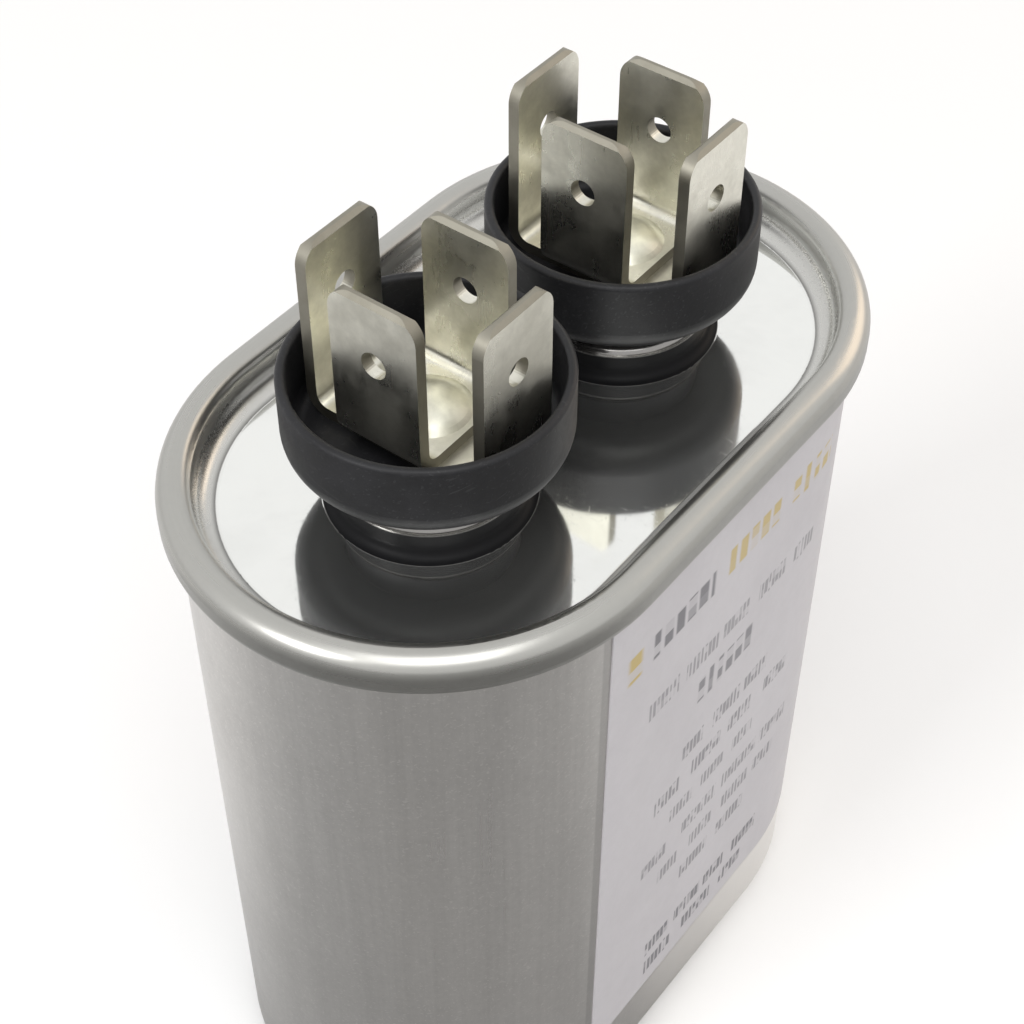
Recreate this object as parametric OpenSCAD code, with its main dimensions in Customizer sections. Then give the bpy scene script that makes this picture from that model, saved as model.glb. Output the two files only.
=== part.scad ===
// Motor run capacitor: an oval drawn can with a rolled-on lid and two terminals of four push-on tabs.
// Z is up, the can stands on Z = 0, X runs along the long axis of the oval and the label faces -Y.

/* [Can] */
// Width over the rolled seam
seam_w = 33.3; // [32.5:0.1:36]
// Length over the rolled seam
seam_l = 53.7; // [53:0.1:66]
// Height from the bottom to the top of the seam
seam_h = 59; // [58:0.5:100]
// Thickness of the can wall
can_t = 0.45; // [0.35:0.05:0.5]
// Outer radius of the drawn bottom corner
foot_r = 2.5; // [1.5:0.1:3.5]

/* [Lid] */
// Thickness of the lid sheet
lid_t = 0.3; // [0.25:0.05:0.35]
// Depth of the lid's floor below the top of the seam
lid_drop = 2.8; // [2.5:0.1:3]
// Height of the seam bead
bead_h = 2.95; // [2.8:0.05:3.2]
// Height of each pressed terminal boss above the lid's floor
boss_rise = 2.5; // [2.3:0.1:2.8]
// Outer diameter of each boss
boss_d = 12; // [11.6:0.1:12.6]

/* [Terminals] */
// Distance between the two terminals
pitch = 20; // [19.5:0.1:22]
// Outer diameter of an insulating cup
cup_d = 17.8; // [17.4:0.1:18.2]
// Height of an insulating cup, with its neck
cup_h = 7.5; // [6.6:0.1:8.4]
// Height of the neck that the cup stands on
neck_h = 1.8; // [1.4:0.1:2]
// Thickness of a cup's wall
cup_wall = 0.65; // [0.5:0.05:0.7]
// Thickness of a cup's floor over its neck
cup_floor = 2.7; // [2.5:0.1:3]
// Width of a push-on tab
tab_w = 6.35; // [6.2:0.05:6.4]
// Thickness of a tab
tab_t = 0.8; // [0.7:0.05:0.85]
// Height of the tab tips above the top of the seam
tab_rise = 14.8; // [13:0.1:16]
// Distance between the middles of the tabs across the can
wide_span = 12.75; // [12.4:0.05:12.9]
// Distance between the middles of the tabs along the can
narrow_span = 8.3; // [8:0.05:8.6]
// Diameter of the lock hole in each tab
lock_d = 1.8; // [1.6:0.05:2]

/* [Winding] */
// Space between the winding and the can wall
winding_gap = 0.95; // [0.8:0.05:1.5]
// Height of the wound film
winding_h = 44.2; // [38:0.1:45]
// Thickness of the insulating sleeve round the winding
sleeve_t = 0.4; // [0.2:0.05:0.5]

/* [Label] */
// Thickness of the label
label_t = 0.1; // [0.08:0.01:0.15]
// Bare metal left under the label
label_foot = 8; // [2.6:0.1:12]
// Bare metal left between the label and the seam
label_head = 1; // [0.5:0.1:3]
// How far the label's ends stand from the middle of the can
label_reach = 12.3; // [10.5:0.1:14]

/* [Hidden] */
$fn = 96;

// The oval: two half rounds, this far each side of the middle
run = (seam_l - seam_w) / 2;

// Seam, as radii from the middle of a half round. From the outside in, its layers are the lid's
// outer wall, the can's hook, the lid's hook, the can wall, the compound and the lid's inner wall.
seam_r = seam_w / 2;
can_r = seam_r - 2 * lid_t - can_t;
can_in = can_r - can_t;
shoulder_out = 1.35;
shoulder_in = 0.8;
curl_r = 0.9;
crest_r = seam_r - shoulder_out;
chuck_r = crest_r - shoulder_in;
shoulder_z = seam_h - shoulder_out;
curl_z = seam_h - bead_h + curl_r;
hook_mid = can_r + lid_t / 2;
compound_drop = 2.1;
compound_foot = seam_h - compound_drop;

// Lid
floor_z = seam_h - lid_drop;
floor_bend = 1.4;
floor_r = chuck_r - floor_bend;
boss_z = floor_z + boss_rise;
boss_bend = 0.8;
boss_foot = boss_d / 2 + boss_bend;

// Terminal stack, from the boss upward
rivet_r = 2;
collar_r = 3.3;
seat_w = 0.4;
gasket_r = boss_d / 2 - boss_bend - seat_w;
gasket_t = 0.4;
neck_r = boss_d / 2 - seat_w;
under_z = boss_z + neck_h;
rim_z = boss_z + cup_h - cup_wall / 2;
cup_in_z = boss_z + cup_floor;
cup_bend = 1.9;
cup_fillet = 0.8;
wide_z = cup_in_z;
narrow_z = wide_z + tab_t;
tab_top = seam_h + tab_rise;
fold_in = 0.8;
fold_out = fold_in + tab_t;
tab_corner = 1.5;
tab_bevel = 0.28;
lock_drop = 4.4;
lock_z = tab_top - lock_drop;
head_r = 2.8;
head_h = 1;

// Terminal stack, from the boss downward
bush_r = gasket_r;
bush_t = 1.2;
bush_z = boss_z - lid_t - bush_t;
lug_t = 0.6;
lug_w = 5;
lug_z = bush_z - lug_t;
lug_back = lug_w / 2 + lug_t;
lug_reach = 4.6;
lead_x = pitch / 2 - lug_reach + lug_t;
rivet_tail = 0.6;

// Winding, from the can's floor upward
pad_t = 1.5;
spray_t = 0.7;
winding_r = can_in - winding_gap;
spray_z = can_t + pad_t;
winding_z = spray_z + spray_t;
winding_top = winding_z + winding_h;
spacer_z = winding_top + spray_t;
spacer_t = 1.2;
lug_clear = 0.75;
lug_foot = spacer_z + spacer_t + lug_clear;
core_run = 3.2;
core_r = 2.2;
core_in = 1.5;
wire_r = 0.6;
wire_bend = 2;
wire_foot = 11;
slot_play = 0.6;
left_lead_top = lug_foot + 3;
right_lead_top = lug_foot + 1.6;

// Reach of a cutting shape past what it cuts
past = 1;

// ---- outlines ----

// The oval outline with half rounds of radius r
module oval(r, half = run) {
    square([2 * half, 2 * r], center = true);
    for (s = [-1, 1]) translate([s * half, 0]) circle(r);
}

// A bent stretch of sheet of thickness t, from one angle to another
module bend(inner, t, from, to) {
    reach = 2 * (inner + t);
    intersection() {
        difference() {
            circle(inner + t);
            circle(inner);
        }
        polygon([[0, 0], for (i = [0:4]) let (a = from + (to - from) * i / 4) reach * [cos(a), sin(a)]]);
    }
}

// A rectangle given by two opposite corners
module span(lo, hi) {
    translate(lo) square(hi - lo);
}

// Sweeps a section, drawn as radius and height, once round the oval
module round_oval() {
    for (s = [0, 1]) {
        mirror([s, 0, 0]) translate([run, 0, 0]) rotate([0, 0, -90]) rotate_extrude(angle = 180) children();
        mirror([0, s, 0]) translate([-run, 0, 0]) rotate([90, 0, 90]) linear_extrude(2 * run) children();
    }
}

// Puts the children at the left (-1) or the right (1) terminal
module at_terminal(side) {
    translate([side * pitch / 2, 0, 0]) children();
}

// ---- can and lid ----

// Wall, bottom corner and the flange that hooks over inside the seam
module can_section() {
    translate([can_r - foot_r, foot_r]) bend(foot_r - can_t, can_t, -90, 0);
    span([can_in, foot_r], [can_r, shoulder_z]);
    translate([hook_mid, shoulder_z]) bend(lid_t / 2, can_t, 0, 180);
    span([can_r + lid_t, curl_z], [can_r + lid_t + can_t, shoulder_z]);
}

module can() {
    color("#b7b8b8") {
        round_oval() can_section();
        linear_extrude(can_t) oval(can_r - foot_r);
    }
}

// Floor corner, inner wall, bead, outer wall, curl and the hook tucked up inside the can's flange
module lid_section() {
    translate([floor_r, floor_z + floor_bend]) bend(floor_bend, lid_t, -90, 0);
    span([chuck_r, floor_z + floor_bend], [chuck_r + lid_t, seam_h - shoulder_in]);
    translate([crest_r, seam_h - shoulder_in]) bend(shoulder_in - lid_t, lid_t, 90, 180);
    translate([crest_r, shoulder_z]) bend(shoulder_out - lid_t, lid_t, 0, 90);
    span([seam_r - lid_t, curl_z], [seam_r, shoulder_z]);
    translate([seam_r - curl_r, curl_z]) bend(curl_r - lid_t, lid_t, -90, 0);
    translate([hook_mid, curl_z - curl_r + lid_t / 2]) circle(lid_t / 2);
    span([can_r, curl_z - curl_r + lid_t / 2], [can_r + lid_t, shoulder_z]);
}

// Half section of a pressed boss, from its foot on the floor to the hole for the bushing
module boss_section() {
    translate([boss_foot, floor_z + boss_bend]) bend(boss_bend, lid_t, 180, 270);
    span([boss_d / 2 - lid_t, floor_z + boss_bend], [boss_d / 2, boss_z - boss_bend]);
    translate([boss_d / 2 - boss_bend, boss_z - boss_bend]) bend(boss_bend - lid_t, lid_t, 0, 90);
    span([collar_r, boss_z - lid_t], [boss_d / 2 - boss_bend, boss_z]);
}

module lid() {
    color("#d4d5d4") {
        round_oval() lid_section();
        translate([0, 0, floor_z - lid_t]) linear_extrude(lid_t) difference() {
            oval(floor_r);
            for (s = [-1, 1]) translate([s * pitch / 2, 0]) circle(boss_foot);
        }
        for (s = [-1, 1]) at_terminal(s) rotate_extrude() boss_section();
    }
}

// Fills the seam between the lid's inner wall and the can's flange
module seam_compound() {
    color("#7c7368") round_oval() difference() {
        union() {
            span([chuck_r + lid_t, compound_foot], [crest_r, seam_h - shoulder_in]);
            translate([crest_r, seam_h - shoulder_in]) bend(0, shoulder_in - lid_t, 90, 180);
            span([crest_r, compound_foot], [hook_mid, shoulder_z]);
            intersection() {
                translate([crest_r, shoulder_z]) circle(shoulder_out - lid_t);
                span([crest_r, shoulder_z], [hook_mid, seam_h]);
            }
        }
        span([can_in, compound_foot - past], [hook_mid + past, shoulder_z]);
        translate([hook_mid, shoulder_z]) circle(lid_t / 2 + can_t);
    }
}

module label() {
    color("#cdcad3") intersection() {
        round_oval() span([can_r, label_foot], [can_r + label_t, seam_h - bead_h - label_head]);
        translate([-label_reach, -seam_w, 0]) cube([seam_l, 2 * seam_w, seam_h]);
    }
}

// ---- terminals ----

// Round cup with a neck, a rounded lower corner, a rolled rim and a seat for the gasket underneath
module terminal_cup(side) {
    r = cup_d / 2;
    hollow_r = r - cup_wall;
    color("#1d1d1f") at_terminal(side) rotate_extrude() difference() {
        union() {
            span([rivet_r, boss_z], [neck_r, cup_in_z]);
            span([rivet_r, under_z], [r - cup_bend, rim_z]);
            span([rivet_r, under_z + cup_bend], [r, rim_z]);
            translate([r - cup_bend, under_z + cup_bend]) circle(cup_bend);
            translate([r - cup_wall / 2, rim_z]) circle(cup_wall / 2);
        }
        span([0, boss_z - past], [gasket_r, boss_z + gasket_t]);
        span([0, cup_in_z], [hollow_r - cup_fillet, rim_z + past]);
        span([0, cup_in_z + cup_fillet], [hollow_r, rim_z + past]);
        translate([hollow_r - cup_fillet, cup_in_z + cup_fillet]) circle(cup_fillet);
    }
}

module cup_gasket(side) {
    color("#2f2b28") at_terminal(side) translate([0, 0, boss_z]) linear_extrude(gasket_t) difference() {
        circle(gasket_r);
        circle(collar_r);
    }
}

// Section of a strip folded up at both ends, with bevelled tips
module fold_section(half, z) {
    span([-half + fold_out, z], [half - fold_out, z + tab_t]);
    for (s = [0, 1]) mirror([s, 0]) {
        translate([half - fold_out, z + fold_out]) bend(fold_in, tab_t, -90, 0);
        span([half - tab_t, z + fold_out], [half, tab_top - tab_bevel]);
        translate([half - tab_t, tab_top - tab_bevel])
            polygon([[0, 0], [tab_t, 0], [tab_t - tab_bevel, tab_bevel], [tab_bevel, tab_bevel]]);
    }
}

// Outline of a strip seen along its length, with rounded upper corners
module tab_outline(z) {
    half_w = tab_w / 2;
    span([-half_w, z - past], [half_w, tab_top - tab_corner]);
    span([tab_corner - half_w, z - past], [half_w - tab_corner, tab_top + past]);
    for (s = [-1, 1]) translate([s * (half_w - tab_corner), tab_top - tab_corner]) circle(tab_corner);
}

// One strip that stands as two tabs facing each other across its rivet hole
module tab_strip(spacing, z) {
    half = (spacing + tab_t) / 2;
    through = 2 * (half + past);
    difference() {
        intersection() {
            rotate([90, 0, 0]) linear_extrude(tab_w, center = true) fold_section(half, z);
            rotate([90, 0, 90]) linear_extrude(through, center = true) tab_outline(z);
        }
        translate([0, 0, lock_z]) rotate([0, 90, 0]) cylinder(h = through, d = lock_d, center = true);
        translate([0, 0, z - past]) cylinder(h = tab_t + 2 * past, r = rivet_r);
    }
}

// The strip that lies on the cup's floor, across the can
module lower_tabs(side) {
    color("#c9c7bd") at_terminal(side) rotate([0, 0, 90]) tab_strip(wide_span, wide_z);
}

// The strip on top of it, along the can
module upper_tabs(side) {
    color("#c9c7bd") at_terminal(side) tab_strip(narrow_span, narrow_z);
}

// Shank through the whole stack, with a domed head above and a flat one below
module rivet(side) {
    seat = narrow_z + tab_t;
    dome_r = (head_r * head_r + head_h * head_h) / (2 * head_h);
    color("#bdbab0") at_terminal(side) {
        translate([0, 0, lug_z]) cylinder(h = seat - lug_z, r = rivet_r);
        translate([0, 0, lug_z - rivet_tail]) cylinder(h = rivet_tail, r = head_r);
        rotate_extrude() intersection() {
            translate([0, seat + head_h - dome_r]) circle(dome_r);
            span([0, seat], [head_r, seat + head_h]);
        }
    }
}

// Washer under the boss, with a collar that keeps the rivet off the lid
module bushing(side) {
    collar_h = boss_z + gasket_t - bush_z;
    color("#e2ded2") at_terminal(side) translate([0, 0, bush_z]) difference() {
        union() {
            cylinder(h = bush_t, r = bush_r);
            cylinder(h = collar_h, r = collar_r);
        }
        translate([0, 0, -past]) cylinder(h = collar_h + 2 * past, r = rivet_r);
    }
}

// Flat strip under the bushing, bent down towards the middle of the can
module solder_lug(side) {
    color("#c3a35c") at_terminal(side) mirror([max(side, 0), 0, 0]) difference() {
        rotate([90, 0, 0]) linear_extrude(lug_w, center = true) {
            span([-lug_back, lug_z], [lug_reach - 2 * lug_t, bush_z]);
            translate([lug_reach - 2 * lug_t, lug_z - lug_t]) bend(lug_t, lug_t, 0, 90);
            span([lug_reach - lug_t, lug_foot], [lug_reach, lug_z - lug_t]);
        }
        translate([0, 0, lug_z - past]) cylinder(h = lug_t + 2 * past, r = rivet_r);
    }
}

// ---- inside the can ----

// Straight piece of wire along X, or along Z
module wire_x(from, to, z) {
    translate([from, 0, z]) rotate([0, 90, 0]) cylinder(h = to - from, r = wire_r);
}

module wire_z(x, from, to) {
    translate([x, 0, from]) cylinder(h = to - from, r = wire_r);
}

// Wire from the top of the winding, soldered to the outer face of the left lug
module left_lead() {
    color("#c98f4e") wire_z(-lead_x - wire_r, spacer_z, left_lead_top);
}

// Wire from under the winding, up through the core and over to the right lug
module right_lead() {
    low = spray_z - wire_r;
    high = right_lead_top;
    color("#c98f4e") {
        wire_x(wire_bend, wire_foot, low);
        translate([wire_bend, 0, low + wire_bend]) wire_turn(180);
        wire_z(0, low + wire_bend, high - wire_bend);
        translate([wire_bend, 0, high - wire_bend]) wire_turn(90);
        wire_x(wire_bend, pitch / 2 - lug_reach, high);
    }
}

// Quarter turn of wire, upright, that starts at an angle
module wire_turn(start) {
    rotate([90, 0, 0]) rotate([0, 0, start]) rotate_extrude(angle = 90)
        translate([wire_bend, 0]) circle(wire_r);
}

module oval_tube(r, hole, z, h, half = run, hole_half = run) {
    translate([0, 0, z]) linear_extrude(h) difference() {
        oval(r, half);
        oval(hole, hole_half);
    }
}

module film_winding() {
    color("#d9d2bd") oval_tube(winding_r, core_r, winding_z, winding_h, run, core_run);
}

module winding_core() {
    color("#8a8f96") oval_tube(core_r, core_in, spray_z, spacer_z - spray_z, core_run, core_run);
}

module end_spray(z) {
    color("#9a9da0") oval_tube(winding_r, core_r, z, spray_t, run, core_run);
}

module insulating_sleeve() {
    color("#e8e4da") oval_tube(winding_r + sleeve_t, winding_r, winding_z, spacer_z + spacer_t - winding_z);
}

// Board under the winding, slotted for the wire's foot
module bottom_pad() {
    color("#b08d62") translate([0, 0, can_t]) linear_extrude(pad_t) difference() {
        oval(can_r - foot_r);
        translate([wire_foot / 2, 0]) oval(wire_r + slot_play, wire_foot / 2 + slot_play);
    }
}

// Board on top of the winding, with a hole for each wire
module top_spacer() {
    color("#b08d62") translate([0, 0, spacer_z]) linear_extrude(spacer_t) difference() {
        oval(winding_r);
        circle(core_in);
        translate([-lead_x - wire_r, 0]) circle(wire_r);
    }
}

can();
lid();
seam_compound();
label();
terminal_cup(-1);  // left_terminal_cup
terminal_cup(1);  // right_terminal_cup
cup_gasket(-1);  // left_cup_gasket
cup_gasket(1);  // right_cup_gasket
lower_tabs(-1);  // left_lower_tabs
lower_tabs(1);  // right_lower_tabs
upper_tabs(-1);  // left_upper_tabs
upper_tabs(1);  // right_upper_tabs
rivet(-1);  // left_rivet
rivet(1);  // right_rivet
bushing(-1);  // left_bushing
bushing(1);  // right_bushing
solder_lug(-1);  // left_solder_lug
solder_lug(1);  // right_solder_lug
left_lead();
right_lead();
film_winding();
winding_core();
end_spray(winding_top);  // top_end_spray
end_spray(spray_z);  // bottom_end_spray
insulating_sleeve();
bottom_pad();
top_spacer();
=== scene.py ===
"""Dresses the motor run capacitor: an oval can with a seamed lid, a label and two terminals.

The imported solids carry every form, and this script adds none. It gives each solid its finish, and
sets the floor, the lamps and the camera.
"""
import logging
import math
from dataclasses import dataclass
from enum import Enum

import bmesh
import bpy
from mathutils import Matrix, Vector


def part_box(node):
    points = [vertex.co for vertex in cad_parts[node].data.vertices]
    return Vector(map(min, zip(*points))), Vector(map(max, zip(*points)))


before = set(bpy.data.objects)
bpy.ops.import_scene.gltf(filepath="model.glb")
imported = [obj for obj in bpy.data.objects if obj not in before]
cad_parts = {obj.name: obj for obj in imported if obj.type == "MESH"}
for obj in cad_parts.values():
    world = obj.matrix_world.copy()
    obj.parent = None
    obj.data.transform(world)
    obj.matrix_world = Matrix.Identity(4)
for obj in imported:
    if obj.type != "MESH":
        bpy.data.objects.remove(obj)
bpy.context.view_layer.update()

LOG = logging.getLogger("run_capacitor")
MM = 0.001
WHITE = (1.0, 1.0, 1.0)

Colour = tuple[float, float, float]
Stretch = tuple[float, float, float]


class Side(Enum):
    """The two terminals, by the start of their pieces' names."""

    LEFT = "left"
    RIGHT = "right"


class Axis(Enum):
    """The direction across a tab, by its index."""

    X = 0
    Y = 1


def opaque(colour: Colour) -> tuple[float, float, float, float]:
    """Adds full opacity to a colour."""
    return (*colour, 1.0)


def toned(colour: Colour, share: float) -> Colour:
    """Multiplies a colour by a share, and holds it at white."""
    return tuple(min(share * c, 1.0) for c in colour)


# ---------------------------------------------------------------- node building


@dataclass
class Nodes:
    """Builds one node tree with short calls.

    Attributes:
        tree: The node tree that receives the nodes.
    """

    tree: bpy.types.NodeTree

    def add(self, kind: str, **settings: object) -> bpy.types.Node:
        """Adds a node.

        Args:
            kind: The node's type, without its ShaderNode prefix.
            **settings: Properties of the node.

        Returns:
            The new node.
        """
        node = self.tree.nodes.new("ShaderNode" + kind)
        for name, value in settings.items():
            setattr(node, name, value)
        return node

    def join(self, source: object, target: bpy.types.NodeSocket) -> None:
        """Links a socket, or writes a constant, into a socket.

        Args:
            source: An output socket, a number or a tuple.
            target: The input socket that takes it.
        """
        if isinstance(source, bpy.types.NodeSocket):
            self.tree.links.new(source, target)
        else:
            target.default_value = source

    def math(self, operation: str, *values: object, clamp: bool = False) -> bpy.types.NodeSocket:
        """Adds a Math node.

        Args:
            operation: The node's operation.
            *values: Its inputs, as sockets or numbers.
            clamp: Whether the result is held between 0 and 1.

        Returns:
            The result's socket.
        """
        node = self.add("Math", operation=operation, use_clamp=clamp)
        for value, socket in zip(values, node.inputs):
            self.join(value, socket)
        return node.outputs[0]

    def times(self, first: object, second: object) -> bpy.types.NodeSocket:
        """Multiplies two values."""
        return self.math("MULTIPLY", first, second)

    def spread(self, value: object, share: float, base: object) -> bpy.types.NodeSocket:
        """Adds a share of a value to a base.

        Args:
            value: The value's socket.
            share: How much of it is added.
            base: What it is added to.

        Returns:
            The sum's socket.
        """
        return self.math("MULTIPLY_ADD", value, share, base)

    def vector(self, operation: str, *values: object) -> bpy.types.NodeSocket:
        """Adds a Vector Math node and returns its vector.

        Args:
            operation: The node's operation.
            *values: Its inputs, as sockets or tuples.

        Returns:
            The result's socket.
        """
        node = self.add("VectorMath", operation=operation)
        for value, socket in zip(values, node.inputs):
            self.join(value, socket)
        return node.outputs[0]

    def ramp(
        self, value: object, low: float, high: float, start: float = 0.0, end: float = 1.0
    ) -> bpy.types.NodeSocket:
        """Maps a value smoothly from one range to another, and holds it at the ends.

        Args:
            value: The socket to map.
            low: Value that gives start.
            high: Value that gives end.
            start: Result at low.
            end: Result at high.

        Returns:
            The mapped value's socket.
        """
        node = self.add("MapRange", interpolation_type="SMOOTHSTEP")
        for source, socket in zip((value, low, high, start, end), node.inputs):
            self.join(source, socket)
        return node.outputs[0]

    def mix(self, factor: object, first: object, second: object) -> bpy.types.NodeSocket:
        """Mixes two colours.

        Args:
            factor: Share of the second colour.
            first: Colour at 0.
            second: Colour at 1.

        Returns:
            The mixed colour's socket.
        """
        node = self.add("Mix", data_type="RGBA")
        self.join(factor, node.inputs["Factor"])
        for source, index in ((first, 6), (second, 7)):
            source = opaque(source) if isinstance(source, tuple) else source
            self.join(source, node.inputs[index])
        return node.outputs[2]

    def noise(
        self, where: object, scale: float, detail: float = 2.0, roughness: float = 0.5
    ) -> bpy.types.NodeSocket:
        """Adds a noise texture.

        Args:
            where: Coordinate socket.
            scale: Features to a metre.
            detail: Octaves.
            roughness: Share that each octave adds.

        Returns:
            The noise value's socket.
        """
        node = self.add("TexNoise")
        self.join(where, node.inputs["Vector"])
        for name, value in (("Scale", scale), ("Detail", detail), ("Roughness", roughness)):
            node.inputs[name].default_value = value
        return node.outputs[0]

    def group(self, tree: bpy.types.NodeTree, **values: object) -> bpy.types.Node:
        """Places a node group.

        Args:
            tree: The group's tree.
            **values: Its inputs by name, with _ for a space.

        Returns:
            The group node.
        """
        node = self.add("Group")
        node.node_tree = tree
        for name, value in values.items():
            self.join(value, node.inputs[name.replace("_", " ")])
        return node


@dataclass
class EffectGroup:
    """A shader node group with named inputs and outputs.

    Attributes:
        name: The group's name.
        inputs: Name and socket type of each input, with its default.
        outputs: Name and socket type of each output.
    """

    name: str
    inputs: tuple[tuple[str, str, object], ...]
    outputs: tuple[tuple[str, str], ...]

    def start(self) -> tuple[Nodes, bpy.types.Node, bpy.types.Node]:
        """Makes the empty group.

        Returns:
            The builder, the group's input node and its output node.
        """
        tree = bpy.data.node_groups.new(self.name, "ShaderNodeTree")
        for name, kind, value in self.inputs:
            socket = tree.interface.new_socket(name, in_out="INPUT", socket_type=kind)
            if value is not None:
                socket.default_value = value
        for name, kind in self.outputs:
            tree.interface.new_socket(name, in_out="OUTPUT", socket_type=kind)
        nodes = Nodes(tree)
        return nodes, tree.nodes.new("NodeGroupInput"), tree.nodes.new("NodeGroupOutput")


FLOAT, VECTOR = "NodeSocketFloat", "NodeSocketVector"


class Effects:
    """The effects that several finishes share, each built once.

    Attributes:
        run: Half length of the can's straight sides, in metres.
        wall_radius: Radius of the can's round ends, in metres.
    """

    wall_radius: float = 15.6 * MM

    def __init__(self, run: float) -> None:
        """Builds every group.

        Args:
            run: Half length of the can's straight sides.
        """
        self.run = run
        self.around = self._around()
        self.grain = self._grain()
        self.smudge = self._smudge()
        self.scratches = self._scratches()
        self.speckle = self._speckle()
        self.print_row = self._print_row()

    def _around(self) -> bpy.types.NodeTree:
        """Gives the place on the oval: distance along it, distance out from it, and height."""
        outputs = (("Along", FLOAT), ("Out", FLOAT), ("Height", FLOAT), ("Place", VECTOR))
        group = EffectGroup("around_the_oval", (), outputs)
        n, _, out = group.start()
        place = n.add("SeparateXYZ")
        n.join(n.add("NewGeometry").outputs["Position"], place.inputs[0])
        x, y, z = place.outputs
        past = n.math("MAXIMUM", n.math("SUBTRACT", n.math("ABSOLUTE", x), self.run), 0.0)
        radius = n.math("SQRT", n.math("ADD", n.times(past, past), n.times(y, y)))
        straight = n.math("MINIMUM", n.math("ABSOLUTE", x), self.run)
        turned = n.times(n.math("ARCTAN2", past, n.math("ABSOLUTE", y)), self.wall_radius)
        along = n.times(n.math("ADD", straight, turned), n.math("SIGN", x))
        joined = n.add("CombineXYZ")
        for source, socket in zip((along, radius, z), joined.inputs):
            n.join(source, socket)
        for source, socket in zip((along, radius, z, joined.outputs[0]), out.inputs):
            n.join(source, socket)
        return n.tree

    def _grain(self) -> bpy.types.NodeTree:
        """Long fine lines left by drawing, rolling or brushing."""
        group = EffectGroup(
            "drawn_grain",
            (
                ("Place", VECTOR, None), ("Stretch", VECTOR, (1.0, 1.0, 1.0)),
                ("Contrast", FLOAT, 1.0),
            ),
            (("Mask", FLOAT), ("Height", FLOAT)),
        )
        n, given, out = group.start()
        stretched = n.vector("MULTIPLY", given.outputs["Place"], given.outputs["Stretch"])
        broad = n.noise(stretched, 500.0, 2.0, 0.6)
        fine = n.noise(stretched, 3000.0, 2.0, 0.6)
        lines = n.math("ADD", n.times(broad, 0.55), n.times(fine, 0.45))
        centred = n.times(n.math("SUBTRACT", lines, 0.5), given.outputs["Contrast"])
        n.join(n.math("ADD", centred, 0.5, clamp=True), out.inputs["Mask"])
        n.join(lines, out.inputs["Height"])
        return n.tree

    def _smudge(self) -> bpy.types.NodeTree:
        """Soft cloudy patches, as from handling and drying."""
        group = EffectGroup(
            "handling_smudge",
            (("Place", VECTOR, None), ("Size", FLOAT, 0.01), ("Amount", FLOAT, 0.5)),
            (("Mask", FLOAT),),
        )
        n, given, out = group.start()
        scaled = n.vector("SCALE", given.outputs["Place"])
        n.join(n.math("DIVIDE", 1.0, given.outputs["Size"]), scaled.node.inputs["Scale"])
        cloud = n.noise(scaled, 1.0, 4.0, 0.62)
        patches = n.ramp(cloud, 0.42, 0.68)
        n.join(n.times(patches, given.outputs["Amount"]), out.inputs["Mask"])
        return n.tree

    def _scratches(self) -> bpy.types.NodeTree:
        """Sparse straight hairline scratches in three directions."""
        inputs = (("Place", VECTOR, None), ("Amount", FLOAT, 0.5))
        group = EffectGroup("fine_scratches", inputs, (("Mask", FLOAT),))
        n, given, out = group.start()
        total = None
        for turn in (0.35, 1.2, 2.5):
            rotated = n.add("VectorRotate", rotation_type="EULER_XYZ")
            n.join(given.outputs["Place"], rotated.inputs["Vector"])
            rotated.inputs["Rotation"].default_value = (turn, 0.6 * turn, 1.7 * turn)
            thin = n.vector("MULTIPLY", rotated.outputs[0], (110.0, 6000.0, 6000.0))
            line = n.ramp(n.noise(thin, 1.0, 0.0), 0.73, 0.80)
            total = line if total is None else n.math("MAXIMUM", total, line)
        n.join(n.times(total, given.outputs["Amount"]), out.inputs["Mask"])
        return n.tree

    def _speckle(self) -> bpy.types.NodeTree:
        """Fine even mottling of a matte or pressed surface."""
        inputs = (("Place", VECTOR, None), ("Size", FLOAT, 0.0004))
        group = EffectGroup("fine_speckle", inputs, (("Value", FLOAT),))
        n, given, out = group.start()
        scaled = n.vector("SCALE", given.outputs["Place"])
        n.join(n.math("DIVIDE", 1.0, given.outputs["Size"]), scaled.node.inputs["Scale"])
        n.join(n.noise(scaled, 1.0, 3.0, 0.7), out.inputs["Value"])
        return n.tree

    def _print_row(self) -> bpy.types.NodeTree:
        """One printed row: small strokes gathered into blocks, with gaps between the blocks."""
        group = EffectGroup(
            "printed_row",
            (
                ("Along", FLOAT, 0.0), ("Height", FLOAT, 0.0), ("Start", FLOAT, 0.0),
                ("End", FLOAT, 0.01), ("Middle", FLOAT, 0.0), ("Half Height", FLOAT, 0.001),
                ("Stroke", FLOAT, 0.0008), ("Block", FLOAT, 0.004), ("Seed", FLOAT, 0.0),
                ("Soft", FLOAT, 0.0002),
            ),
            (("Mask", FLOAT),),
        )
        n, given, out = group.start()
        g = given.outputs
        reach = n.math("SUBTRACT", g["Along"], g["Start"])
        strokes, blocks = n.math("DIVIDE", reach, g["Stroke"]), n.math("DIVIDE", reach, g["Block"])
        chance = self._chance(n, n.math("FLOOR", strokes), g["Seed"])
        block = self._chance(n, n.math("FLOOR", blocks), n.math("ADD", g["Seed"], 31.0))
        width = n.math("MULTIPLY_ADD", chance, 0.22, 0.24)
        aside = n.math("PINGPONG", n.math("ADD", strokes, 0.5), 0.5)
        stroke = n.ramp(n.math("SUBTRACT", width, aside), -0.10, 0.12)
        gap = n.math("SUBTRACT", n.math("MULTIPLY_ADD", block, 0.30, 0.62), n.math("FRACT", blocks))
        shape = n.times(stroke, n.ramp(gap, 0.0, 0.04))
        above = n.math("SUBTRACT", g["Height"], g["Middle"])
        tall = n.times(g["Half Height"], n.math("MULTIPLY_ADD", chance, -0.22, 1.0))
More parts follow.
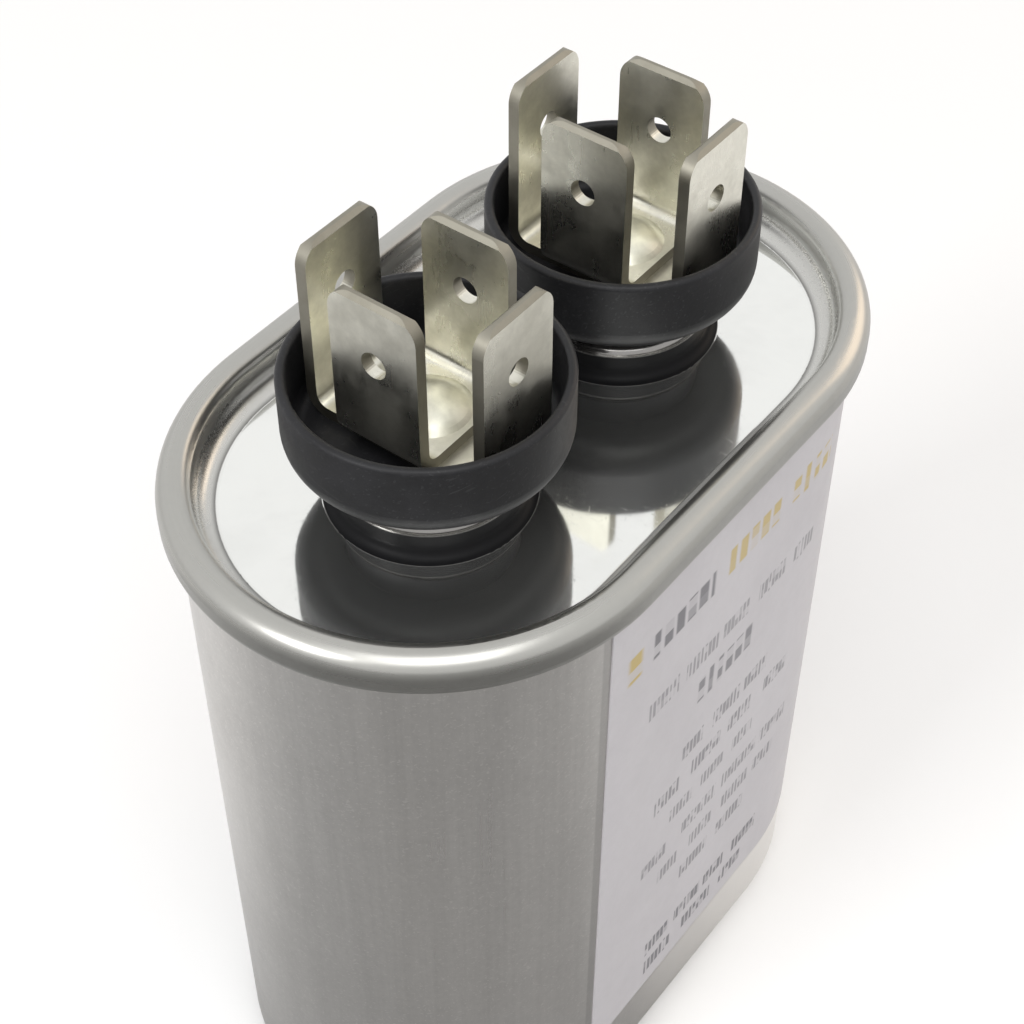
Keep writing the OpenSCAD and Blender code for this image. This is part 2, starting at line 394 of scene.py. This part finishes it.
        inside = n.ramp(n.math("SUBTRACT", tall, n.math("ABSOLUTE", above)), 0.0, g["Soft"])
        level = n.math("FLOOR", n.times(n.math("DIVIDE", above, g["Half Height"]), 1.5))
        cell = n.math("MULTIPLY_ADD", level, 17.0, n.math("FLOOR", strokes))
        dab = self._chance(n, cell, n.math("ADD", g["Seed"], 57.0))
        inside = n.times(inside, n.ramp(dab, 0.10, 0.45, 0.15, 1.0))
        begun = n.ramp(reach, 0.0, g["Soft"])
        ended = n.ramp(n.math("SUBTRACT", g["End"], g["Along"]), 0.0, g["Soft"])
        mask = n.times(n.times(shape, inside), n.times(begun, ended))
        n.join(mask, out.inputs["Mask"])
        return n.tree

    @staticmethod
    def _chance(n: Nodes, cell: bpy.types.NodeSocket, seed: object) -> bpy.types.NodeSocket:
        """Gives each numbered cell its own number between 0 and 1.

        Args:
            n: The group's node builder.
            cell: The cell's number.
            seed: A number that sets one row apart from another.

        Returns:
            The socket of the cell's own number.
        """
        noise = n.add("TexWhiteNoise", noise_dimensions="2D")
        pair = n.add("CombineXYZ")
        n.join(cell, pair.inputs[0])
        n.join(seed, pair.inputs[1])
        n.join(pair.outputs[0], noise.inputs["Vector"])
        return noise.outputs["Value"]


# ---------------------------------------------------------------- finishes


@dataclass(frozen=True)
class Finish:
    """What every finish has: a name, a colour, a roughness and a share of metal.

    Attributes:
        name: The material's name.
        colour: Base colour, linear.
        roughness: Mean roughness.
        metallic: Share of bare metal, from 0 to 1.
    """

    name: str
    colour: Colour
    roughness: float
    metallic: float = 0.0

    def start(self) -> tuple[bpy.types.Material, Nodes, bpy.types.Node]:
        """Makes the material with its plain constants.

        Returns:
            The material, a node builder and the Principled shader.
        """
        material = bpy.data.materials.new(self.name)
        material.use_nodes = True
        tree = material.node_tree
        tree.nodes.clear()
        nodes = Nodes(tree)
        shader = nodes.add("BsdfPrincipled")
        output = nodes.add("OutputMaterial")
        tree.links.new(shader.outputs[0], output.inputs["Surface"])
        shader.inputs["Base Color"].default_value = opaque(self.colour)
        shader.inputs["Roughness"].default_value = self.roughness
        shader.inputs["Metallic"].default_value = self.metallic
        return material, nodes, shader

    def bump(
        self, n: Nodes, shader: bpy.types.Node, height: bpy.types.NodeSocket, depth: float
    ) -> None:
        """Adds relief to the shader.

        Args:
            n: The material's node builder.
            shader: The shader that takes the normal.
            height: Height between 0 and 1.
            depth: Depth of the relief in metres.
        """
        node = n.add("Bump")
        node.inputs["Distance"].default_value = depth
        n.join(height, node.inputs["Height"])
        n.join(node.outputs[0], shader.inputs["Normal"])

    def tint(
        self, n: Nodes, mask: bpy.types.NodeSocket, low: float, high: float
    ) -> bpy.types.NodeSocket:
        """Varies the base colour between two brightnesses.

        Args:
            n: The material's node builder.
            mask: Value between 0 and 1.
            low: Brightness at 0.
            high: Brightness at 1.

        Returns:
            The varied colour's socket.
        """
        return n.mix(mask, toned(self.colour, low), toned(self.colour, high))


@dataclass(frozen=True)
class DrawnCan(Finish):
    """Satin aluminium with upright draw lines, light scratches and handling marks.

    Attributes:
        label_end: Where the label's upright edge stands along the can, in metres.
        margin: Height of the lighter bare band below the label, in metres.
        edge_line: Half width of the darker line just outside the label's edge, in metres.
    """

    label_end: float = -12.3 * MM
    margin: float = 8.0 * MM
    edge_line: float = 0.35 * MM

    def build(self, fx: Effects) -> bpy.types.Material:
        """Makes the material.

        Args:
            fx: The shared effects.

        Returns:
            The material.
        """
        material, n, shader = self.start()
        around = n.group(fx.around)
        place, along = around.outputs["Place"], around.outputs["Along"]
        grain = n.group(fx.grain, Place=place, Stretch=(1.0, 1.0, 0.02), Contrast=1.6)
        mottle = n.group(fx.speckle, Place=place, Size=0.0005)
        smudge = n.group(fx.smudge, Place=place, Size=0.016, Amount=1.0)
        scratch = n.group(fx.scratches, Place=place, Amount=0.5)
        lines, specks = n.times(grain.outputs["Mask"], 0.5), n.times(mottle.outputs[0], 0.5)
        mixed = n.math("ADD", lines, specks)
        colour = self.tint(n, mixed, 0.80, 1.20)
        colour = n.mix(n.times(smudge.outputs[0], 0.30), colour, toned(self.colour, 0.78))
        colour = n.mix(n.times(scratch.outputs[0], 0.5), colour, toned(self.colour, 1.5))
        colour = n.mix(self._lighter_band(n, around), colour, toned(self.colour, 1.4))
        aside = n.math("ABSOLUTE", n.math("SUBTRACT", along, self.label_end - self.edge_line))
        line = n.ramp(aside, self.edge_line + 0.1 * MM, self.edge_line - 0.1 * MM)
        colour = n.mix(n.times(line, 0.45), colour, toned(self.colour, 0.55))
        n.join(colour, shader.inputs["Base Color"])
        rough = n.spread(grain.outputs["Mask"], 0.14, self.roughness - 0.07)
        n.join(n.spread(smudge.outputs[0], 0.07, rough), shader.inputs["Roughness"])
        relief = n.math("SUBTRACT", mixed, n.times(scratch.outputs[0], 0.8))
        self.bump(n, shader, relief, 0.004 * MM)
        return material

    def _lighter_band(self, n: Nodes, around: bpy.types.Node) -> bpy.types.NodeSocket:
        """Marks the lighter bare band below the label.

        Args:
            n: The material's node builder.
            around: The placed oval coordinates.

        Returns:
            The mask's socket.
        """
        begun = n.ramp(around.outputs["Along"], self.label_end, self.label_end + 12.0 * MM)
        low = n.ramp(around.outputs["Height"], self.margin, self.margin - 0.8 * MM)
        return n.times(begun, low)


@dataclass(frozen=True)
class PressedLid(Finish):
    """Bright tinplate: a mirror floor, bosses darkened with a near-black lower band as a painted
    dark reflection, and a rim left satin by the seaming, with painted shade on its lower part.

    Attributes:
        painted_dark_shoulder: Base colour of the bosses, darkened from the floor's as a painted
            dark reflection.
        compound: Near-black colour of the bosses' lower sides, made non-metal, a painted dark
            reflection.
        wall_colour: Base colour of the wall between the floor and the bead.
        bead_colour: Base colour of the bead.
        bead_roughness: Roughness of the bead.
        crest: Height of the bead's top, in metres.
        drop: Depth of the lid's floor below the bead's top, in metres.
        wall: Distances out between which the floor turns into the wall, in metres.
        bead: Distances out between which the wall turns into the bead, in metres.
        foot: Heights over the floor between which a boss begins, in metres.
        bare: Heights over the floor between which the painted near-black band ends, in metres.
    """

    painted_dark_shoulder: Colour = (0.30, 0.29, 0.28)
    compound: Colour = (0.012, 0.012, 0.013)
    wall_colour: Colour = (0.58, 0.575, 0.55)
    bead_colour: Colour = (0.45, 0.445, 0.42)
    bead_roughness: float = 0.30
    crest: float = 59.0 * MM
    drop: float = 2.8 * MM
    wall: tuple[float, float] = (12.9 * MM, 13.7 * MM)
    bead: tuple[float, float] = (14.3 * MM, 14.7 * MM)
    foot: tuple[float, float] = (0.001 * MM, 0.008 * MM)
    bare: tuple[float, float] = (1.70 * MM, 1.90 * MM)

    def build(self, fx: Effects) -> bpy.types.Material:
        """Makes the material.

        Args:
            fx: The shared effects.

        Returns:
            The material.
        """
        material, n, shader = self.start()
        shader.inputs["Specular IOR Level"].default_value = 0.1
        around = n.group(fx.around).outputs
        place, out, height = around["Place"], around["Out"], around["Height"]
        edge, bead = n.ramp(out, *self.wall), n.ramp(out, *self.bead)
        grain = n.group(fx.grain, Place=place, Stretch=(0.03, 1.0, 1.0), Contrast=1.8)
        lines = grain.outputs["Mask"]
        smudge = n.group(fx.smudge, Place=place, Size=0.011, Amount=1.0)
        scratch = n.group(fx.scratches, Place=place, Amount=0.6)
        mottle = n.group(fx.speckle, Place=place, Size=0.0006)
        boss, side = self._bosses(n, height, edge)
        # Painted shade: the bead darkens towards its lower part, next to the can wall.
        low = n.ramp(height, self.crest - 0.7 * MM, self.crest - 1.5 * MM)
        bead_wear_and_shade = n.mix(low, self.bead_colour, toned(self.bead_colour, 0.55))
        bead_wear_and_shade = n.mix(n.times(lines, 0.35), bead_wear_and_shade, toned(self.bead_colour, 0.72))
        bead_wear_and_shade = n.mix(n.times(mottle.outputs[0], 0.20), bead_wear_and_shade, toned(self.bead_colour, 1.3))
        bright = self.tint(n, smudge.outputs[0], 1.0, 0.95)
        # Painted dark reflection: the bosses take a darker tinplate colour.
        bright = n.mix(boss, bright, self.painted_dark_shoulder)
        # Painted dark reflection: the bosses' lower sides turn near-black and lose their metal.
        bright = n.mix(side, bright, self.compound)
        bright = n.mix(edge, bright, self.wall_colour)
        n.join(n.mix(bead, bright, bead_wear_and_shade), shader.inputs["Base Color"])
        n.join(n.spread(side, -self.metallic, self.metallic), shader.inputs["Metallic"])
        rough = n.spread(smudge.outputs[0], 0.05, self.roughness)
        rough = n.spread(scratch.outputs[0], 0.10, rough)
        rough = n.spread(n.math("ADD", boss, n.times(side, 2.0)), 0.12, rough)
        rough = n.spread(edge, 0.20, rough)
        blend = n.add("Mix", data_type="FLOAT")
        bead_rough = n.spread(lines, 0.14, self.bead_roughness - 0.07)
        for source, index in ((bead, 0), (rough, 2), (bead_rough, 3)):
            n.join(source, blend.inputs[index])
        n.join(blend.outputs[0], shader.inputs["Roughness"])
        waves = n.times(n.noise(place, 90.0, 2.0), 6.0)
        relief = n.math("ADD", waves, n.times(grain.outputs["Height"], edge))
        self.bump(n, shader, relief, 0.004 * MM)
        return material

    def _bosses(
        self, n: Nodes, height: bpy.types.NodeSocket, edge: bpy.types.NodeSocket
    ) -> tuple[bpy.types.NodeSocket, bpy.types.NodeSocket]:
        """Marks the bosses, and their lower part that is painted near-black as a dark reflection.

        Args:
            n: The material's node builder.
            height: Height above the can's bottom.
            edge: The wall's mask.

        Returns:
            The masks' sockets.
        """
        floor = self.crest - self.drop
        risen = n.ramp(height, floor + self.foot[0], floor + self.foot[1])
        boss = n.times(risen, n.math("SUBTRACT", 1.0, edge))
        return boss, n.times(boss, n.ramp(height, floor + self.bare[1], floor + self.bare[0]))


@dataclass(frozen=True)
class TinnedTab(Finish):
    """Tin plate over brass, with dull patches, faint rolling lines and darker sheared edges.

    Attributes:
        stain: Colour of the dull patches.
        sheared: Colour of the sheared edges.
        width: Axis across the tab, which its sheared sides face.
        tip: Height above which the tab's sheared end is marked, in metres.
    """

    stain: Colour = (0.25, 0.235, 0.19)
    sheared: Colour = (0.22, 0.205, 0.165)
    width: Axis = Axis.Y
    tip: float = 70.0 * MM

    def build(self, fx: Effects) -> bpy.types.Material:
        """Makes the material.

        Args:
            fx: The shared effects.

        Returns:
            The material.
        """
        material, n, shader = self.start()
        geometry = n.add("NewGeometry")
        place = geometry.outputs["Position"]
        smudge = n.group(fx.smudge, Place=place, Size=0.0042, Amount=1.0)
        fine = n.group(fx.speckle, Place=place, Size=0.0006)
        grain = n.group(fx.grain, Place=place, Stretch=(1.0, 1.0, 0.05), Contrast=1.6)
        colour = self.tint(n, fine.outputs[0], 0.86, 1.12)
        colour = n.mix(n.times(smudge.outputs[0], 0.28), colour, self.stain)
        edge = self._edges(n, geometry)
        colour = n.mix(n.times(edge, 0.85), colour, self.sheared)
        n.join(colour, shader.inputs["Base Color"])
        rough = n.spread(smudge.outputs[0], 0.12, self.roughness - 0.04)
        rough = n.spread(grain.outputs["Mask"], 0.08, rough)
        n.join(n.spread(edge, 0.18, rough), shader.inputs["Roughness"])
        self.bump(n, shader, n.noise(place, 600.0, 1.0), 0.003 * MM)
        return material

    def _edges(self, n: Nodes, geometry: bpy.types.Node) -> bpy.types.NodeSocket:
        """Marks the sheared sides and end of each tab.

        Args:
            n: The material's node builder.
            geometry: The material's Geometry node.

        Returns:
            The mask's socket.
        """
        facing, where = n.add("SeparateXYZ"), n.add("SeparateXYZ")
        n.join(geometry.outputs["True Normal"], facing.inputs[0])
        n.join(geometry.outputs["Position"], where.inputs[0])
        sides = n.ramp(n.math("ABSOLUTE", facing.outputs[self.width.value]), 0.5, 0.8)
        high = n.ramp(where.outputs["Z"], self.tip, self.tip + 1.0 * MM)
        ends = n.times(n.ramp(facing.outputs["Z"], 0.3, 0.6), high)
        return n.math("MAXIMUM", sides, ends)


@dataclass(frozen=True)
class MouldedCup(Finish):
    """Black moulded plastic with a fine skin and a few pale rubs.

    Attributes:
        rub: Colour of the rubs.
    """

    rub: Colour = (0.16, 0.16, 0.165)

    def build(self, fx: Effects) -> bpy.types.Material:
        """Makes the material.

        Args:
            fx: The shared effects.

        Returns:
            The material.
        """
        material, n, shader = self.start()
        shader.inputs["Specular IOR Level"].default_value = 0.3
        place = n.add("NewGeometry").outputs["Position"]
        skin = n.group(fx.speckle, Place=place, Size=0.00035)
        smudge = n.group(fx.smudge, Place=place, Size=0.006, Amount=1.0)
        scratch = n.group(fx.scratches, Place=place, Amount=0.6)
        colour = self.tint(n, skin.outputs[0], 0.75, 1.3)
        colour = n.mix(n.times(smudge.outputs[0], 0.5), colour, toned(self.colour, 2.2))
        colour = n.mix(n.times(scratch.outputs[0], 0.12), colour, self.rub)
        n.join(colour, shader.inputs["Base Color"])
        n.join(n.spread(smudge.outputs[0], 0.14, self.roughness), shader.inputs["Roughness"])
        relief = n.math("SUBTRACT", skin.outputs[0], n.times(scratch.outputs[0], 0.5))
        self.bump(n, shader, relief, 0.008 * MM)
        return material


@dataclass(frozen=True)
class PrintedRow:
    """A row of strokes on the label, in millimetres from the can's middle and bottom.

    Attributes:
        start: Where the row starts along the label.
        end: Where it ends.
        middle: Height of the row's middle.
        half: Half the row's height.
        stroke: Width given to one stroke.
        block: Width given to one block of strokes and the gap after it.
        strength: How dark the ink is, from 0 to 1.
    """

    start: float
    end: float
    middle: float
    half: float
    stroke: float
    block: float
    strength: float


@dataclass(frozen=True)
class LabelFilm(Finish):
    """Pale printed label film, with bars and rows of strokes in place of words.

    Attributes:
        ink: Colour of the dark print.
        gold: Colour of the header bars.
        rows: Rows of dark strokes.
        bars: Rows of gold strokes.
    """

    ink: Colour = (0.16, 0.155, 0.17)
    gold: Colour = (0.52, 0.40, 0.15)
    rows: tuple[PrintedRow, ...] = ()
    bars: tuple[PrintedRow, ...] = ()

    def _mask(
        self, n: Nodes, fx: Effects, around: bpy.types.Node, rows: tuple[PrintedRow, ...]
    ) -> bpy.types.NodeSocket:
        """Joins rows into one mask.

        Args:
            n: The material's node builder.
            fx: The shared effects.
            around: The placed oval coordinates.
            rows: The rows to join.

        Returns:
            The mask's socket.
        """
        total: object = 0.0
        for index, row in enumerate(rows):
            placed = n.group(
                fx.print_row,
                Along=around.outputs["Along"], Height=around.outputs["Height"],
                Start=row.start * MM, End=row.end * MM,
                Middle=row.middle * MM, Half_Height=row.half * MM,
                Stroke=row.stroke * MM, Block=row.block * MM, Seed=3.7 * index + 1.0,
            )
            total = n.math("MAXIMUM", total, n.times(placed.outputs[0], row.strength))
        return total

    def build(self, fx: Effects) -> bpy.types.Material:
        """Makes the material.

        Args:
            fx: The shared effects.

        Returns:
            The material.
        """
        material, n, shader = self.start()
        around = n.group(fx.around)
        place = around.outputs["Place"]
        fibre = n.group(fx.speckle, Place=place, Size=0.0007)
        smudge = n.group(fx.smudge, Place=place, Size=0.012, Amount=1.0)
        scratch = n.group(fx.scratches, Place=place, Amount=0.4)
        colour = self.tint(n, fibre.outputs[0], 0.95, 1.05)
        colour = n.mix(n.times(smudge.outputs[0], 0.25), colour, toned(self.colour, 0.88))
        colour = n.mix(self._mask(n, fx, around, self.bars), colour, self.gold)
        colour = n.mix(self._mask(n, fx, around, self.rows), colour, self.ink)
        n.join(colour, shader.inputs["Base Color"])
        n.join(n.spread(smudge.outputs[0], 0.12, self.roughness), shader.inputs["Roughness"])
        waves = n.times(n.noise(place, 130.0, 2.0), 2.0)
        relief = n.math("SUBTRACT", n.math("ADD", waves, fibre.outputs[0]), scratch.outputs[0])
        self.bump(n, shader, relief, 0.010 * MM)
        return material


@dataclass(frozen=True)
class PlainStock(Finish):
    """Board, rubber, film, wire and other stock that only needs its own fine texture.

    Attributes:
        grit: Size of the texture, in metres.
        depth: Depth of its relief, in metres.
        stretch: Stretch of the texture, for what is wound or pulled.
    """

    grit: float = 0.0006
    depth: float = 0.01 * MM
    stretch: Stretch = (1.0, 1.0, 1.0)

    def build(self, fx: Effects) -> bpy.types.Material:
        """Makes the material.

        Args:
            fx: The shared effects.

        Returns:
            The material.
        """
        material, n, shader = self.start()
        around = n.group(fx.around)
        stretched = n.vector("MULTIPLY", around.outputs["Place"], self.stretch)
        fine = n.group(fx.speckle, Place=stretched, Size=self.grit)
        smudge = n.group(fx.smudge, Place=around.outputs["Place"], Size=0.006, Amount=1.0)
        n.join(self.tint(n, fine.outputs[0], 0.75, 1.2), shader.inputs["Base Color"])
        n.join(n.spread(smudge.outputs[0], 0.12, self.roughness), shader.inputs["Roughness"])
        self.bump(n, shader, fine.outputs[0], self.depth)
        return material


# ---------------------------------------------------------------- the pieces


def dress(node: str, material: bpy.types.Material) -> None:
    """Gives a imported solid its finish.

    Args:
        node: The solid's name.
        material: Its material.
    """
    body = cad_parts[node]
    if not body.material_slots:
        body.data.materials.append(material)
    for slot in body.material_slots:
        slot.material = material
    LOG.info("%s: %s", node, material.name)


@dataclass
class CanShell:
    """The drawn can, the lid seamed onto it, the compound between them and the label.

    Attributes:
        fx: The shared effects.
    """

    fx: Effects

    def build(self) -> None:
        """Dresses the four pieces."""
        corner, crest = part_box("label")[0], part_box("lid")[1].z
        rows, bars = self.dark_rows(), self.gold_bars()
        finishes = {
            "can": DrawnCan(
                "drawn_can", (0.60, 0.585, 0.565), 0.30, 1.0, label_end=corner.x, margin=corner.z
            ),
            "lid": PressedLid("pressed_lid", (0.87, 0.875, 0.85), 0.045, 0.965, crest=crest),
            "seam_compound": PlainStock("seam_compound", (0.16, 0.14, 0.12), 0.7, depth=0.02 * MM),
            "label": LabelFilm("label_film", (0.56, 0.54, 0.56), 0.45, rows=rows, bars=bars),
        }
        for node, finish in finishes.items():
            dress(node, finish.build(self.fx))

    @staticmethod
    def dark_rows() -> tuple[PrintedRow, ...]:
        """Rows of dark strokes, from the header down."""
        return (
            PrintedRow(-8.2, -0.5, 50.0, 1.35, 1.30, 9.0, 0.90),
            PrintedRow(-8.0, 12.4, 43.4, 1.00, 0.46, 4.4, 0.62),
            PrintedRow(-2.0, 6.8, 39.7, 1.45, 1.15, 9.5, 0.80),
            PrintedRow(-3.2, 8.0, 34.2, 0.95, 0.46, 3.9, 0.70),
            PrintedRow(-6.4, 12.2, 31.2, 0.95, 0.46, 4.7, 0.74),
            PrintedRow(-4.2, 8.0, 28.0, 0.85, 0.44, 4.1, 0.66),
            PrintedRow(-7.4, 13.0, 24.6, 0.90, 0.45, 5.2, 0.66),
            PrintedRow(-5.2, 11.0, 21.6, 0.90, 0.45, 4.3, 0.66),
            PrintedRow(-2.0, 8.0, 18.6, 0.90, 0.45, 5.0, 0.70),
            PrintedRow(-6.0, 9.6, 12.9, 0.95, 0.52, 4.0, 0.88),
            PrintedRow(-6.0, 9.6, 10.4, 0.95, 0.52, 5.2, 0.88),
        )

    @staticmethod
    def gold_bars() -> tuple[PrintedRow, ...]:
        """Gold strokes of the header."""
        return (
            PrintedRow(-11.2, -8.8, 50.0, 1.40, 2.60, 9.0, 0.95),
            PrintedRow(0.3, 6.9, 50.4, 1.35, 1.30, 8.0, 0.90),
            PrintedRow(8.0, 13.6, 50.7, 1.35, 1.30, 8.0, 0.90),
        )


@dataclass
class Terminals:
    """The two terminals: cup, gasket, tab strips, rivet, bushing, lug and lead of each.

    Attributes:
        fx: The shared effects.
    """

    fx: Effects

    def build(self) -> None:
        """Dresses every piece of both terminals."""
        cup = MouldedCup("moulded_cup", (0.013, 0.013, 0.0145), 0.42).build(self.fx)
        tin, dull = (0.76, 0.745, 0.66), 0.27
        across = TinnedTab("tinned_tab_across", tin, dull, 1.0, width=Axis.X).build(self.fx)
        along = TinnedTab("tinned_tab_along", tin, dull, 1.0, width=Axis.Y).build(self.fx)
        rivet = TinnedTab("tinned_rivet", (0.80, 0.79, 0.68), 0.34, 1.0).build(self.fx)
        gasket = PlainStock("gasket_rubber", (0.02, 0.019, 0.018), 0.7).build(self.fx)
        bushing = PlainStock("bushing_nylon", (0.72, 0.69, 0.62), 0.45).build(self.fx)
        lug = TinnedTab("lug_brass", (0.62, 0.45, 0.17), 0.3, 1.0).build(self.fx)
        wire = PlainStock("lead_copper", (0.62, 0.30, 0.13), 0.35, 1.0).build(self.fx)
        for side in Side:
            for piece, material in (
                ("terminal_cup", cup), ("lower_tabs", across), ("upper_tabs", along),
                ("rivet", rivet), ("cup_gasket", gasket), ("bushing", bushing),
                ("solder_lug", lug), ("lead", wire),
            ):
                dress(f"{side.value}_{piece}", material)


@dataclass
class Winding:
    """The film roll and what holds it in the can.

    Attributes:
        fx: The shared effects.
    """

    fx: Effects

    def build(self) -> None:
        """Dresses the roll, its core, contacts, sleeve and boards."""
        zinc = PlainStock(
            "sprayed_zinc", (0.30, 0.31, 0.32), 0.75, 0.6, grit=0.3 * MM, depth=0.04 * MM
        )
        board = PlainStock("pressed_board", (0.42, 0.28, 0.15), 0.85, grit=0.9 * MM)
        film = PlainStock("wound_film", (0.62, 0.58, 0.46), 0.3, stretch=(0.1, 0.1, 4.0))
        core = PlainStock("core_plastic", (0.24, 0.26, 0.30), 0.5)
        sleeve = PlainStock("sleeve_film", (0.72, 0.69, 0.62), 0.4)
        for finish, nodes in (
            (film, ("film_winding",)), (core, ("winding_core",)), (sleeve, ("insulating_sleeve",)),
            (zinc, ("top_end_spray", "bottom_end_spray")), (board, ("bottom_pad", "top_spacer")),
        ):
            material = finish.build(self.fx)
            for node in nodes:
                dress(node, material)


# ---------------------------------------------------------------- studio


@dataclass(frozen=True)
class SoftBox:
    """A soft area lamp that looks at the object.

    Attributes:
        name: The lamp's name.
        azimuth: Direction it stands in, in degrees, 0 being in front at -Y and 90 at +X.
        elevation: Its height above the floor, in degrees.
        distance: Its distance from the object, in metres.
        size: Its side, in metres.
        power: Its power, in watts.
        colour: Its light's colour, linear.
    """

    name: str
    azimuth: float
    elevation: float
    distance: float
    size: float
    power: float
    colour: Colour = WHITE

    def build(self, aim: Vector) -> None:
        """Places the lamp.

        Args:
            aim: The point that it looks at.
        """
        data = bpy.data.lights.new(self.name, "AREA")
        data.shape = "SQUARE"
        data.size = self.size
        data.energy = self.power
        data.color = self.colour
        lamp = bpy.data.objects.new(self.name, data)
        out = direction(self.azimuth, self.elevation)
        lamp.location = aim + out * self.distance
        lamp.rotation_mode = "QUATERNION"
        lamp.rotation_quaternion = (-out).to_track_quat("-Z", "Y")
        bpy.context.scene.collection.objects.link(lamp)


def direction(azimuth: float, elevation: float) -> Vector:
    """Unit vector from the object towards an azimuth and elevation.

    Args:
        azimuth: Degrees, 0 at -Y and 90 at +X.
        elevation: Degrees above the floor.

    Returns:
        The vector.
    """
    a, e = math.radians(azimuth), math.radians(elevation)
    return Vector((math.sin(a) * math.cos(e), -math.cos(a) * math.cos(e), math.sin(e)))


@dataclass
class Studio:
    """The pale floor, the lamps, the surroundings and the camera.

    Attributes:
        floor_radius: Radius of the floor, in metres.
        floor_colour: Its colour, linear.
        seen_colour: Its colour as the camera sees it.
        ambient: Strength of the surroundings on matt surfaces.
        dim: Share of the floor's colour that metal shows in front of the object.
        dim_azimuth: Direction of that dimmer part, in degrees.
        look_from: The camera's azimuth and elevation, in degrees.
        look_at: The point that it aims at, in millimetres.
        look_distance: Its distance from that point, in metres.
        lens: Its focal length, in millimetres.
        sensor: Its sensor's width, in millimetres.
        near: Its nearest visible distance, in metres.
    """

    floor_radius: float = 3.0
    floor_colour: Colour = (0.93, 0.93, 0.93)
    seen_colour: Colour = WHITE
    ambient: float = 0.62
    dim: float = 0.37
    dim_azimuth: float = -53.0
    look_from: tuple[float, float] = (-52.741, 45.923)
    look_at: tuple[float, float, float] = (-5.92, -3.19, 52.57)
    look_distance: float = 128.855 * MM
    lens: float = 71.15
    sensor: float = 36.0
    near: float = 5.0 * MM

    def build(self) -> None:
        """Makes everything round the object."""
        self._floor()
        self._surroundings()
        middle = Vector((0.0, 0.0, 40.0 * MM))
        for lamp in (
            SoftBox("soft_box_top", -47.0, 60.0, 0.9, 0.60, 2.7),
            SoftBox("soft_box_left", -101.0, 34.0, 0.9, 0.26, 2.4),
            SoftBox("soft_box_right", 74.0, 24.0, 0.9, 0.50, 1.0, (1.0, 0.76, 0.52)),
        ):
            lamp.build(middle)
        self._camera()

    def _floor(self) -> None:
        """Lays a round sheet of pale card, which metal shows dimmer in front of the object."""
        mesh = bpy.data.meshes.new("floor")
        disc = bmesh.new()
        bmesh.ops.create_circle(disc, cap_ends=True, segments=96, radius=self.floor_radius)
        disc.to_mesh(mesh)
        disc.free()
        floor = bpy.data.objects.new("floor", mesh)
        bpy.context.scene.collection.objects.link(floor)
        material, n, shader = Finish("pale_card", self.floor_colour, 0.9).start()
        place = n.add("NewGeometry").outputs["Position"]
        cloudy = toned(self.floor_colour, 0.99)
        card = n.mix(n.noise(place, 40.0, 3.0), cloudy, self.floor_colour)
        ahead = tuple(direction(self.dim_azimuth, 0.0))
        facing = n.vector("DOT_PRODUCT", n.vector("NORMALIZE", place), ahead).node
        front = n.ramp(facing.outputs["Value"], -0.45, 1.0)
        path = n.add("LightPath")
        front = n.times(front, path.outputs["Is Glossy Ray"])
        card = n.mix(path.outputs["Is Camera Ray"], card, self.seen_colour)
        card = n.mix(front, card, toned(self.floor_colour, self.dim))
        n.join(card, shader.inputs["Base Color"])
        mesh.materials.append(material)

    def _surroundings(self) -> None:
        """Sets a white background that metal shows too, and an even light."""
        world = bpy.data.worlds.new("studio")
        world.use_nodes = True
        n = Nodes(world.node_tree)
        world.node_tree.nodes.clear()
        path = n.add("LightPath")
        seen = n.math("MAXIMUM", path.outputs["Is Camera Ray"], path.outputs["Is Glossy Ray"])
        seen = n.math("MAXIMUM", seen, path.outputs["Is Transmission Ray"])
        even, white = n.add("Background"), n.add("Background")
        for background, strength in ((even, self.ambient), (white, 1.0)):
            background.inputs["Strength"].default_value = strength
            background.inputs["Color"].default_value = opaque(WHITE)
        both = n.add("MixShader")
        n.join(seen, both.inputs[0])
        n.join(even.outputs[0], both.inputs[1])
        n.join(white.outputs[0], both.inputs[2])
        n.join(both.outputs[0], n.add("OutputWorld").inputs["Surface"])
        bpy.context.scene.world = world

    def _camera(self) -> None:
        """Looks down over the left end, from beside the label."""
        data = bpy.data.cameras.new("camera")
        data.lens = self.lens
        data.sensor_width = self.sensor
        data.clip_start = self.near
        camera = bpy.data.objects.new("camera", data)
        back = direction(*self.look_from)
        camera.location = Vector(self.look_at) * MM + back * self.look_distance
        camera.rotation_mode = "QUATERNION"
        camera.rotation_quaternion = (-back).to_track_quat("-Z", "Y")
        bpy.context.scene.collection.objects.link(camera)
        bpy.context.scene.camera = camera


def main() -> None:
    """Builds the object's parts in order, then the studio."""
    logging.basicConfig(level=logging.INFO, format="%(message)s")
    low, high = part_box("can")
    run = ((high.x - low.x) - (high.y - low.y)) / 2
    effects = Effects(run)
    for part in (CanShell(effects), Terminals(effects), Winding(effects)):
        part.build()
    Studio().build()
    bpy.context.scene.view_settings.view_transform = "Standard"


if __name__ == "__main__":
    main()
